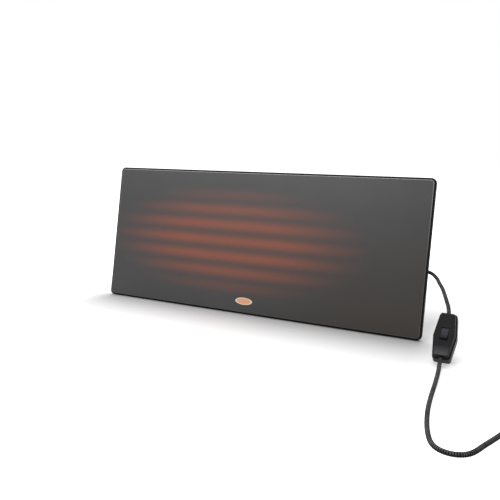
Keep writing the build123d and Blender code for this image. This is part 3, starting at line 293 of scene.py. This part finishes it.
glowPlace = addNode(tree, "ShaderNodeMapping", {
    "Vector": onPanel.outputs[0], "Location": face["glowMiddle"], "Scale": face["glowReach"]},
    vector_type="TEXTURE")
glowFade = addNode(tree, "ShaderNodeTexGradient", {
    "Vector": glowPlace.outputs[0]}, gradient_type="SPHERICAL")
glowSoft = addNode(tree, "ShaderNodeMapRange", {
    "Value": glowFade.outputs["Fac"], "From Max": face["glowFull"], "To Max": face["glowMost"]},
    interpolation_type="SMOOTHSTEP")
glowAmount = addNode(tree, "ShaderNodeMath", {
    0: bandSoft.outputs[0], 1: glowSoft.outputs[0]}, operation="MULTIPLY")
cloud = addNode(tree, "ShaderNodeTexNoise", {
    "Vector": objectPlace, "Scale": 1 / face["cloud"], "Detail": 3.0})
plain = addNode(tree, "ShaderNodeMix", {
    0: cloud.outputs["Fac"], 6: linearColour(face["base"]), 7: linearColour(face["shade"])},
    data_type="RGBA")
panelPlace = addNode(tree, "ShaderNodeSeparateXYZ", {"Vector": onPanel.outputs[0]})
# painted shade: darker and warmer towards the low corner on the cord's side
lowAlong = addNode(tree, "ShaderNodeMapRange", {
    "Value": panelPlace.outputs["X"],
    "From Min": face["lowFrom"][0], "From Max": face["lowFrom"][1]})
lowDown = addNode(tree, "ShaderNodeMapRange", {
    "Value": panelPlace.outputs["Z"],
    "From Min": face["lowUnder"][0], "From Max": face["lowUnder"][1]})
paintedShadeAmount = addNode(tree, "ShaderNodeMath", {
    0: lowAlong.outputs[0], 1: lowDown.outputs[0]}, operation="MULTIPLY")
ground = addNode(tree, "ShaderNodeMix", {
    0: paintedShadeAmount.outputs[0], 6: plain.outputs[2], 7: linearColour(face["low"])}, data_type="RGBA")
printed = addNode(tree, "ShaderNodeMix", {
    0: glowAmount.outputs[0], 6: ground.outputs[2], 7: linearColour(face["glow"])},
    data_type="RGBA")
# painted highlight: the rolled edge is painted light, most towards the top
rolled = addNode(tree, "ShaderNodeMapRange", {
    "Value": panelPlace.outputs["Y"],
    "From Min": face["rolled"][0], "From Max": face["rolled"][1]})
paintedLight = addNode(tree, "ShaderNodeMapRange", {
    "Value": panelPlace.outputs["Z"],
    "From Min": face["paintedLight"][0], "From Max": face["paintedLight"][1], "To Min": face["paintedLightLeast"]})
paintedEdgeHighlight = addNode(tree, "ShaderNodeMath", {
    0: rolled.outputs[0], 1: paintedLight.outputs[0]}, operation="MULTIPLY")
coated = addNode(tree, "ShaderNodeMix", {
    0: paintedEdgeHighlight.outputs[0], 6: printed.outputs[2], 7: linearColour(face["thin"])}, data_type="RGBA")
gloss = addNode(tree, "ShaderNodeMapRange", {
    "Value": cloud.outputs["Fac"],
    "To Min": face["roughness"][0], "To Max": face["roughness"][1]})
peel = addNode(tree, "ShaderNodeTexNoise", {
    "Vector": objectPlace, "Scale": 1 / face["peel"], "Detail": 1.0})
relief = addNode(tree, "ShaderNodeBump", {
    "Height": peel.outputs["Fac"], "Distance": face["peelHeight"], "Strength": face["peelBump"]})
tree.links.new(coated.outputs[2], shader.inputs["Base Color"])
tree.links.new(gloss.outputs[0], shader.inputs["Roughness"])
tree.links.new(relief.outputs["Normal"], shader.inputs["Normal"])
giveFinish(faceFinish, "front_panel")

# What the grained finishes share: the part of the grain that shows as specks, and its bump
grainShare = {"speckRange": (0.35, 0.7), "speck": 0.3, "bump": 0.6}


def grainedFinish(look):
    # Colour and gloss drift over the cloud size, and the grain gives specks and the bump. The
    # grain is stretched along an axis if the look asks for that.
    finish, tree, shader = newFinish(look["name"], look.get("shader", {}))
    place = addNode(tree, "ShaderNodeTexCoord").outputs["Object"]
    drawn = addNode(tree, "ShaderNodeMapping", {
        "Vector": place, "Scale": look.get("stretch", (1, 1, 1))})
    cloud = addNode(tree, "ShaderNodeTexNoise", {
        "Vector": place, "Scale": 1 / look["cloud"], "Detail": 4.0})
    grain = addNode(tree, "ShaderNodeTexNoise", {
        "Vector": drawn.outputs[0], "Scale": 1 / look["grain"], "Detail": 2.0})
    speck = addNode(tree, "ShaderNodeMapRange", {
        "Value": grain.outputs["Fac"],
        "From Min": grainShare["speckRange"][0], "From Max": grainShare["speckRange"][1],
        "To Max": look.get("speck", grainShare["speck"])})
    drift = addNode(tree, "ShaderNodeMath", {
        0: cloud.outputs["Fac"], 1: speck.outputs[0]}, operation="ADD", use_clamp=True)
    colour = addNode(tree, "ShaderNodeMix", {
        0: drift.outputs[0], 6: linearColour(look["base"]), 7: linearColour(look["shade"])},
        data_type="RGBA")
    gloss = addNode(tree, "ShaderNodeMapRange", {
        "Value": drift.outputs[0],
        "To Min": look["roughness"][0], "To Max": look["roughness"][1]})
    relief = addNode(tree, "ShaderNodeBump", {
        "Height": grain.outputs["Fac"], "Distance": look["relief"],
        "Strength": grainShare["bump"]})
    tree.links.new(colour.outputs[2], shader.inputs["Base Color"])
    tree.links.new(gloss.outputs[0], shader.inputs["Roughness"])
    tree.links.new(relief.outputs["Normal"], shader.inputs["Normal"])
    return finish


def paintedLightFinish(look):
    # A grained finish with painted light: it is painted paler along the switch, over the given
    # stretch and only on the skin of its face.
    finish = grainedFinish(look)
    tree = finish.node_tree
    colour = tree.nodes["Principled BSDF"].inputs["Base Color"]
    objectPlace = addNode(tree, "ShaderNodeTexCoord").outputs["Object"]
    onSwitch = addNode(tree, "ShaderNodeMapping", {
        "Vector": objectPlace, "Location": look["middle"],
        "Rotation": (math.radians(look["tilt"]), 0, 0)}, vector_type="TEXTURE")
    place = addNode(tree, "ShaderNodeSeparateXYZ", {"Vector": onSwitch.outputs[0]})
    along = addNode(tree, "ShaderNodeMapRange", {
        "Value": place.outputs["Y"],
        "From Min": look["paintedLight"][0], "From Max": look["paintedLight"][1], "To Min": look["least"]})
    outer = addNode(tree, "ShaderNodeMapRange", {
        "Value": place.outputs["Z"],
        "From Min": look["skin"][0], "From Max": look["skin"][1]})
    amount = addNode(tree, "ShaderNodeMath", {
        0: along.outputs[0], 1: outer.outputs[0]}, operation="MULTIPLY")
    # painted highlight: the skin of the face is mixed towards the pale colour
    paintedLighting = addNode(tree, "ShaderNodeMix", {
        0: amount.outputs[0], 6: colour.links[0].from_socket, 7: linearColour(look["paintedLightColour"])},
        data_type="RGBA")
    tree.links.new(paintedLighting.outputs[2], colour)
    return finish


# Moulded ABS, spark eroded tool: a fine even grain that keeps the black matt.
# Real grain is about 0.3 mm, drawn at 1.0 to 1.2, so that it shows.
boxLook = {
    "name": "moulded ABS box", "base": "#1d1d1f", "shade": "#28282b",
    "cloud": 30 * mm, "grain": 1.2 * mm, "relief": 0.05 * mm, "roughness": (0.48, 0.6)}
giveFinish(grainedFinish(boxLook), "junction_box")
rimLook = {
    "name": "moulded ABS rim", "base": "#0a0a0b", "shade": "#111112",
    "cloud": 40 * mm, "grain": 1.2 * mm, "relief": 0.03 * mm, "roughness": (0.5, 0.62),
    "shader": {"Specular IOR Level": 0.1}}
giveFinish(grainedFinish(rimLook), "edge_rim")
switchLook = {
    "name": "moulded ABS switch", "base": "#0d0d0e", "shade": "#161617",
    "cloud": 18 * mm, "grain": 1.0 * mm, "relief": 0.04 * mm, "roughness": (0.4, 0.52),
    "shader": {"Specular IOR Level": 0.25}}
giveFinish(grainedFinish(switchLook), "switch_base")
# The cover is the same plastic. Its face is painted paler towards the lower end and a little
# all over: a painted highlight where the face catches the light, while its walls keep the dark
# colour.
switchPlace = {"tilt": 47, "middle": (419.65 * mm, -129.69 * mm, 46.67 * mm)}
coverLook = {
    **switchLook, **switchPlace,
    "name": "moulded ABS switch, rubbed", "base": "#111112", "shade": "#1a1a1b", "paintedLightColour": "#58585b",
    "paintedLight": (-22 * mm, -38 * mm), "skin": (2.2 * mm, 3.2 * mm), "least": 0.11,
    "shader": {"Specular IOR Level": 0.1}}
giveFinish(paintedLightFinish(coverLook), "switch_cover")
# Moulded nylon rocker: smooth and dull, with a painted highlight on its upper half
rockerLook = {
    **switchPlace,
    "name": "moulded nylon rocker", "base": "#0b0a0e", "shade": "#121116", "paintedLightColour": "#4a4951",
    "cloud": 10 * mm, "grain": 0.8 * mm, "relief": 0.015 * mm, "roughness": (0.36, 0.44),
    "paintedLight": (-5 * mm, 5 * mm), "skin": (0, 2 * mm), "least": 0.1,
    "shader": {"Specular IOR Level": 0.06}}
giveFinish(paintedLightFinish(rockerLook), "switch_rocker")
# Moulded nylon clamps: smooth dark grey, half matt
clampLook = {
    "name": "moulded nylon clamp", "base": "#2b2b2d", "shade": "#363638",
    "cloud": 8 * mm, "grain": 0.8 * mm, "relief": 0.02 * mm, "roughness": (0.45, 0.55)}
giveFinish(grainedFinish(clampLook), "switch_clamps")
# Black powder coat on pressed steel: satin, with an orange peel of a few millimetres
coatLook = {
    "name": "black powder coat", "base": "#1f1f21", "shade": "#29292c",
    "cloud": 70 * mm, "grain": 2.5 * mm, "relief": 0.05 * mm, "roughness": (0.38, 0.5)}
giveFinish(grainedFinish(coatLook), "rear_cover")
legLook = {
    "name": "black powder coat on legs", "base": "#1b1b1d", "shade": "#262629",
    "cloud": 35 * mm, "grain": 2.0 * mm, "relief": 0.04 * mm, "roughness": (0.36, 0.48)}
giveFinish(grainedFinish(legLook), "leg_left", "leg_right")
# Moulded rubber: dull and slightly dusty, darker in the hollows
tipLook = {
    "name": "moulded EPDM tip", "base": "#1a1a1b", "shade": "#2d2d2e",
    "cloud": 14 * mm, "grain": 1.0 * mm, "relief": 0.08 * mm, "roughness": (0.66, 0.82)}
giveFinish(grainedFinish(tipLook), "tip_left", "tip_right")
sealLook = {
    "name": "moulded nitrile rubber", "base": "#19191a", "shade": "#242425",
    "cloud": 12 * mm, "grain": 0.9 * mm, "relief": 0.05 * mm, "roughness": (0.58, 0.72)}
giveFinish(grainedFinish(sealLook), "box_gasket", "strain_relief")
# Moulded PVC plug: a soft black plastic, half matt
plugLook = {
    "name": "moulded PVC plug", "base": "#1b1b1c", "shade": "#262627",
    "cloud": 16 * mm, "grain": 1.2 * mm, "relief": 0.05 * mm, "roughness": (0.44, 0.58)}
giveFinish(grainedFinish(plugLook), "plug_body")
# Bright zinc plating over pressed or headed steel: a cool metal with cloudy gloss, faint draw lines
zincLook = {
    "name": "zinc plated steel", "base": "#b4b7ba", "shade": "#8f9498",
    "cloud": 7 * mm, "grain": 0.6 * mm, "relief": 0.02 * mm, "roughness": (0.24, 0.42),
    "stretch": (1, 0.15, 0.15), "shader": {"Metallic": 1.0}}
giveFinish(grainedFinish(zincLook), "cover_screws", "hanger_left", "hanger_right", "hanger_rivets",
           "bracket_left", "bracket_right", "bracket_rivets", "pin_left", "pin_right", "box_screws",
           "earth_screw", "switch_screws")
# Stamped brass: warm metal with fine draw lines, a little dull
brassLook = {
    "name": "stamped brass", "base": "#c6ab72", "shade": "#a68a54",
    "cloud": 5 * mm, "grain": 0.5 * mm, "relief": 0.015 * mm, "roughness": (0.26, 0.42),
    "stretch": (0.2, 0.2, 1), "shader": {"Metallic": 1.0}}
giveFinish(grainedFinish(brassLook), "terminal_screws", "earth_tag", "switch_terminals",
           "switch_contacts", "plug_blades", "plug_pin")
# Pressed aluminium can of the cut-out: plain satin metal
canLook = {
    "name": "pressed aluminium can", "base": "#b9b8b4", "shade": "#9d9c99",
    "cloud": 6 * mm, "grain": 0.5 * mm, "relief": 0.015 * mm, "roughness": (0.3, 0.45),
    "shader": {"Metallic": 1.0}}
giveFinish(grainedFinish(canLook), "thermal_cutout")
# Etched aluminium foil: bright, with the rolling lines of the foil along the panel
foilLook = {
    "name": "etched aluminium foil", "base": "#c9cacc", "shade": "#aeb0b3",
    "cloud": 30 * mm, "grain": 1.0 * mm, "relief": 0.02 * mm, "roughness": (0.25, 0.4),
    "stretch": (0.06, 1, 1), "shader": {"Metallic": 1.0}}
giveFinish(grainedFinish(foilLook), "element_track")
# Pressed mica paper: tan, with flakes of a few millimetres that glint
micaLook = {
    "name": "pressed mica paper", "base": "#b79c6e", "shade": "#8f7850",
    "cloud": 9 * mm, "grain": 3.0 * mm, "relief": 0.05 * mm, "roughness": (0.3, 0.6),
    "speck": 0.7}
giveFinish(grainedFinish(micaLook), "element_carrier")
# Mineral fibre board: off-white felt of fibres a few millimetres long
boardLook = {
    "name": "mineral fibre board", "base": "#d3cdbd", "shade": "#b9b09b",
    "cloud": 25 * mm, "grain": 1.0 * mm, "relief": 0.25 * mm, "roughness": (0.85, 0.95),
    "stretch": (0.25, 1, 1), "speck": 0.6}
giveFinish(grainedFinish(boardLook), "insulation_board")
# Moulded nylon terminal block: milky white and smooth
blockLook = {
    "name": "moulded nylon block", "base": "#d6d3c8", "shade": "#c8c4b6",
    "cloud": 12 * mm, "grain": 0.8 * mm, "relief": 0.02 * mm, "roughness": (0.34, 0.45)}
giveFinish(grainedFinish(blockLook), "terminal_block")
# Silicone sleeving: matt and a little chalky
sleeveLook = {
    "name": "extruded silicone sleeve", "base": "#6a645d", "shade": "#5a554f",
    "cloud": 8 * mm, "grain": 0.7 * mm, "relief": 0.03 * mm, "roughness": (0.6, 0.75)}
giveFinish(grainedFinish(sleeveLook), "inner_leads")
print("finishes on all nodes")

# Woven nylon strap: matt black, ribbed across its length.
# Real ribs are about a millimetre apart, drawn at 1.6, so that they show.
strap = {
    "base": "#141416", "rib": "#2e2e32", "roughness": 0.85, "sheen": 0.2,
    "ribPitch": 1.6 * mm, "relief": 0.25 * mm,
    "weave": 0.8 * mm, "fuzzHeight": 0.08 * mm, "fuzzBump": 0.7,
    "width": 12 * mm, "sheet": 1 * mm, "slack": 0.1 * mm,
    "inside": (24 * mm, 14.8 * mm), "corner": 3.5 * mm, "cornerEase": 2.5,
    "startTurn": 0.125, "overlap": 0.3, "lapFrom": 0.9, "lapSheets": 1.1, "steps": 500}
strapFinish, tree, shader = newFinish("woven nylon strap", {
    "Roughness": strap["roughness"], "Sheen Weight": strap["sheen"]})
uvMap = addNode(tree, "ShaderNodeUVMap", uv_map="surface")
objectPlace = addNode(tree, "ShaderNodeTexCoord").outputs["Object"]
ribs = addNode(tree, "ShaderNodeTexWave", {
    "Vector": uvMap.outputs["UV"], "Scale": oneBand}, bands_direction="X")
strapColour = addNode(tree, "ShaderNodeMix", {
    0: ribs.outputs["Fac"], 6: linearColour(strap["base"]), 7: linearColour(strap["rib"])},
    data_type="RGBA")
weave = addNode(tree, "ShaderNodeTexNoise", {
    "Vector": objectPlace, "Scale": 1 / strap["weave"], "Detail": 2.0})
relief = addNode(tree, "ShaderNodeBump", {
    "Height": weave.outputs["Fac"], "Distance": strap["fuzzHeight"], "Strength": strap["fuzzBump"]})
tree.links.new(strapColour.outputs[2], shader.inputs["Base Color"])
tree.links.new(relief.outputs["Normal"], shader.inputs["Normal"])

# The strap's line is a rounded rectangle round the turns, read by angle: the box's half sides less
# the corner, moved out by the corner's arc. It goes round 1.3 times, a sheet further out at the
# lap, and a flat section rides on it, thinner between the ribs:
# thickness = sheet - relief (1 + cos(2 pi run / pitch)) / 2.
lapTurn = np.linspace(0, 1 + strap["overlap"], strap["steps"])
lapAngle = 2 * np.pi * (lapTurn + strap["startTurn"])
outward = np.stack([np.cos(lapAngle), np.sin(lapAngle)], -1)
halfSides = np.array(strap["inside"]) / 2 - strap["corner"]
eased = np.clip(outward * strap["cornerEase"], -1, 1)
lapRise = np.clip((lapTurn - strap["lapFrom"]) / (1 - strap["lapFrom"]), 0, 1)
lap = strap["slack"] + strap["lapSheets"] * strap["sheet"] * lapRise
strapLine = eased * halfSides + outward * (strap["corner"] + lap)[:, None]
strapRun = np.r_[0, np.cumsum(np.linalg.norm(np.diff(strapLine, axis=0), axis=1))]
ribCount = strapRun / strap["ribPitch"]
thickness = strap["sheet"] - strap["relief"] * (1 + np.cos(2 * np.pi * ribCount)) / 2
section = np.array([(0, -0.5), (0, 0.5), (1, 0.5), (1, -0.5)])  # thicknesses out, widths across
offset = strapLine[:, None] + outward[:, None] * section[None, :, :1] * thickness[:, None, None]
bundle = coilMiddle + coilTravel * (coil["outer"] - coil["pitch"]) + upright * coil["pitch"] / 2
strapGrid = bundle + offset[..., :1] * coilTravel + offset[..., 1:] * upright
strapGrid = strapGrid + section[None, :, 1:] * strap["width"] * coilInward
strapMap = np.zeros((strap["steps"], len(section) + 1, 2))
strapMap[..., 0] = ribCount[:, None]
strapPiece = gridPiece("coil_strap", strapGrid, strapFinish, strapMap)
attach(strapPiece, "panel")
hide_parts("coil_tie")

# Badge: a bare oval plate of enamelled aluminium, smooth and glossy under a clear dome, with a
# cream border round a plain orange field
badge = {
    "middle": (-6.8 * mm, 27.3 * mm), "half": (20.3 * mm, 7.6 * mm), "thick": 1.1 * mm, "sides": 64,
    "border": "#f8dcc6", "field": ("#eda473", "#f0b083"), "borderAt": (0.79, 0.81),
    "mottle": 2 * mm, "mottleHeight": 0.02 * mm, "mottleBump": 0.3,
    "roughness": 0.3, "coat": 0.5, "coatRoughness": 0.12}
badgeFinish, tree, shader = newFinish("enamelled aluminium badge", {
    "Roughness": badge["roughness"], "Coat Weight": badge["coat"],
    "Coat Roughness": badge["coatRoughness"]})
uvMap = addNode(tree, "ShaderNodeUVMap", uv_map="surface")
objectPlace = addNode(tree, "ShaderNodeTexCoord").outputs["Object"]
fromMiddle = addNode(tree, "ShaderNodeSeparateXYZ", {"Vector": uvMap.outputs["UV"]})
border = addNode(tree, "ShaderNodeMapRange", {
    "Value": fromMiddle.outputs["X"],
    "From Min": badge["borderAt"][0], "From Max": badge["borderAt"][1]})
mottle = addNode(tree, "ShaderNodeTexNoise", {
    "Vector": objectPlace, "Scale": 1 / badge["mottle"], "Detail": 2.0})
field = addNode(tree, "ShaderNodeMix", {
    0: mottle.outputs["Fac"],
    6: linearColour(badge["field"][0]), 7: linearColour(badge["field"][1])}, data_type="RGBA")
badgeColour = addNode(tree, "ShaderNodeMix", {
    0: border.outputs[0], 6: field.outputs[2], 7: linearColour(badge["border"])}, data_type="RGBA")
relief = addNode(tree, "ShaderNodeBump", {
    "Height": mottle.outputs["Fac"], "Distance": badge["mottleHeight"],
    "Strength": badge["mottleBump"]})
tree.links.new(badgeColour.outputs[2], shader.inputs["Base Color"])
tree.links.new(relief.outputs["Normal"], shader.inputs["Normal"])

# Ellipses of a share of the half sides, each at its height over the face in plate thicknesses:
# a rounded border, a step down, a low dome
badgeShare = np.array([1, 1, 0.99, 0.97, 0.92, 0.85, 0.81, 0.79, 0.7, 0.5, 0.3, 0.1, 0.02])
badgeHeight = np.array([-0.2, 0.6, 0.85, 0.97, 1, 1, 0.92, 0.75, 0.82, 0.9, 0.95, 0.97, 0.97])
around = 2 * np.pi * np.arange(badge["sides"]) / badge["sides"]
leanTurn = math.radians(face["lean"])
alongPanel = np.array((1, 0, 0))
upPanel = np.array((0, math.sin(leanTurn), math.cos(leanTurn)))
outPanel = np.array((0, -math.cos(leanTurn), math.sin(leanTurn)))
badgeX = badge["middle"][0] + badge["half"][0] * badgeShare[:, None] * np.cos(around)
badgeZ = badge["middle"][1] + badge["half"][1] * badgeShare[:, None] * np.sin(around)
badgeGrid = np.array(face["foot"]) + badgeX[..., None] * alongPanel + badgeZ[..., None] * upPanel
badgeGrid = badgeGrid + badgeHeight[:, None, None] * badge["thick"] * outPanel
badgeMap = np.zeros((len(badgeShare), badge["sides"] + 1, 2))
badgeMap[..., 0] = badgeShare[:, None]
badgePiece = gridPiece("badge_plate", badgeGrid, badgeFinish, badgeMap)
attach(badgePiece, "panel")
print("strap and badge made")


def seenByCamera(tree):  # 1 for rays from the camera, also by way of metal or glass, 0 for light
    ray = addNode(tree, "ShaderNodeLightPath")
    looking = addNode(tree, "ShaderNodeMath", {
        0: ray.outputs["Is Camera Ray"], 1: ray.outputs["Is Glossy Ray"]}, operation="MAXIMUM")
    through = addNode(tree, "ShaderNodeMath", {
        0: looking.outputs[0], 1: ray.outputs["Is Transmission Ray"]}, operation="MAXIMUM")
    return through.outputs[0]


# Floor: a pale sweep that keeps the shadow at the panel's foot. Further from the foot it glows to
# the camera, faster sideways: painted light that fades the real shadows there to white.
stageLook = {
    "size": 6.0, "floor": "#f4f4f4", "lift": (0, 1.1), "fade": 0.42, "foot": (0.36, 0.06, 0),
    "sideways": (2.2, 1, 1), "sky": 0.3}
reach = stageLook["size"]
floorCorners = [(-reach, -reach, 0), (reach, -reach, 0), (reach, reach, 0), (-reach, reach, 0)]
floorMesh = bpy.data.meshes.new("floor")
floorMesh.from_pydata(floorCorners, [], [(0, 1, 2, 3)])
floor = bpy.data.objects.new("floor", floorMesh)
bpy.context.collection.objects.link(floor)
floorFinish, tree, shader = newFinish("matt white sweep", {
    "Base Color": linearColour(stageLook["floor"]), "Roughness": 1.0, "Specular IOR Level": 0.0,
    "Emission Color": white})
objectPlace = addNode(tree, "ShaderNodeTexCoord").outputs["Object"]
sides = addNode(tree, "ShaderNodeVectorMath", {0: objectPlace}, operation="ABSOLUTE")
past = addNode(tree, "ShaderNodeVectorMath", {
    0: sides.outputs[0], 1: stageLook["foot"]}, operation="SUBTRACT")
beyond = addNode(tree, "ShaderNodeVectorMath", {
    0: past.outputs[0], 1: (0, 0, 0)}, operation="MAXIMUM")
spread = addNode(tree, "ShaderNodeVectorMath", {
    0: beyond.outputs[0], 1: stageLook["sideways"]}, operation="MULTIPLY")
away = addNode(tree, "ShaderNodeVectorMath", {0: spread.outputs[0]}, operation="LENGTH")
# painted light: the glow grows with the distance from the panel's foot, sideways faster
level = addNode(tree, "ShaderNodeMapRange", {
    "Value": away.outputs["Value"], "From Max": stageLook["fade"],
    "To Min": stageLook["lift"][0], "To Max": stageLook["lift"][1]})
lift = addNode(tree, "ShaderNodeMath", {
    0: seenByCamera(tree), 1: level.outputs[0]}, operation="MULTIPLY")
tree.links.new(lift.outputs[0], shader.inputs["Emission Strength"])
floorMesh.materials.append(floorFinish)

# World: an even sky that lights the object at a plain level and shows white
world = bpy.data.worlds.new("studio")
bpy.context.scene.world = world
world.use_nodes = True
tree = world.node_tree
sky = tree.nodes["Background"]
skyLevel = addNode(tree, "ShaderNodeMapRange", {
    "Value": seenByCamera(tree), "To Min": stageLook["sky"]})
sky.inputs["Color"].default_value = white
tree.links.new(skyLevel.outputs[0], sky.inputs["Strength"])

# Soft boxes: one high behind the panel, one in front to the left, each aimed at the panel's foot
lamps = {
    "top box": {"place": (-0.2, 0.8, 2.0), "size": (1.6, 0.9), "power": 28.5},
    "front box": {"place": (-1.1, -2.15, 1.5), "size": (2.2, 0.85), "power": 29},
}
for lampName, lamp in lamps.items():
    lampData = bpy.data.lights.new(lampName, "AREA")
    lampData.shape = "RECTANGLE"
    lampData.size, lampData.size_y = lamp["size"]
    lampData.energy = lamp["power"]
    box = bpy.data.objects.new(lampName, lampData)
    bpy.context.collection.objects.link(box)
    box.location = lamp["place"]
    box.rotation_euler = (-box.location).to_track_quat("-Z", "Y").to_euler()
    box.visible_camera = False
bpy.context.scene.view_settings.view_transform = "Standard"
print("stage and light set")
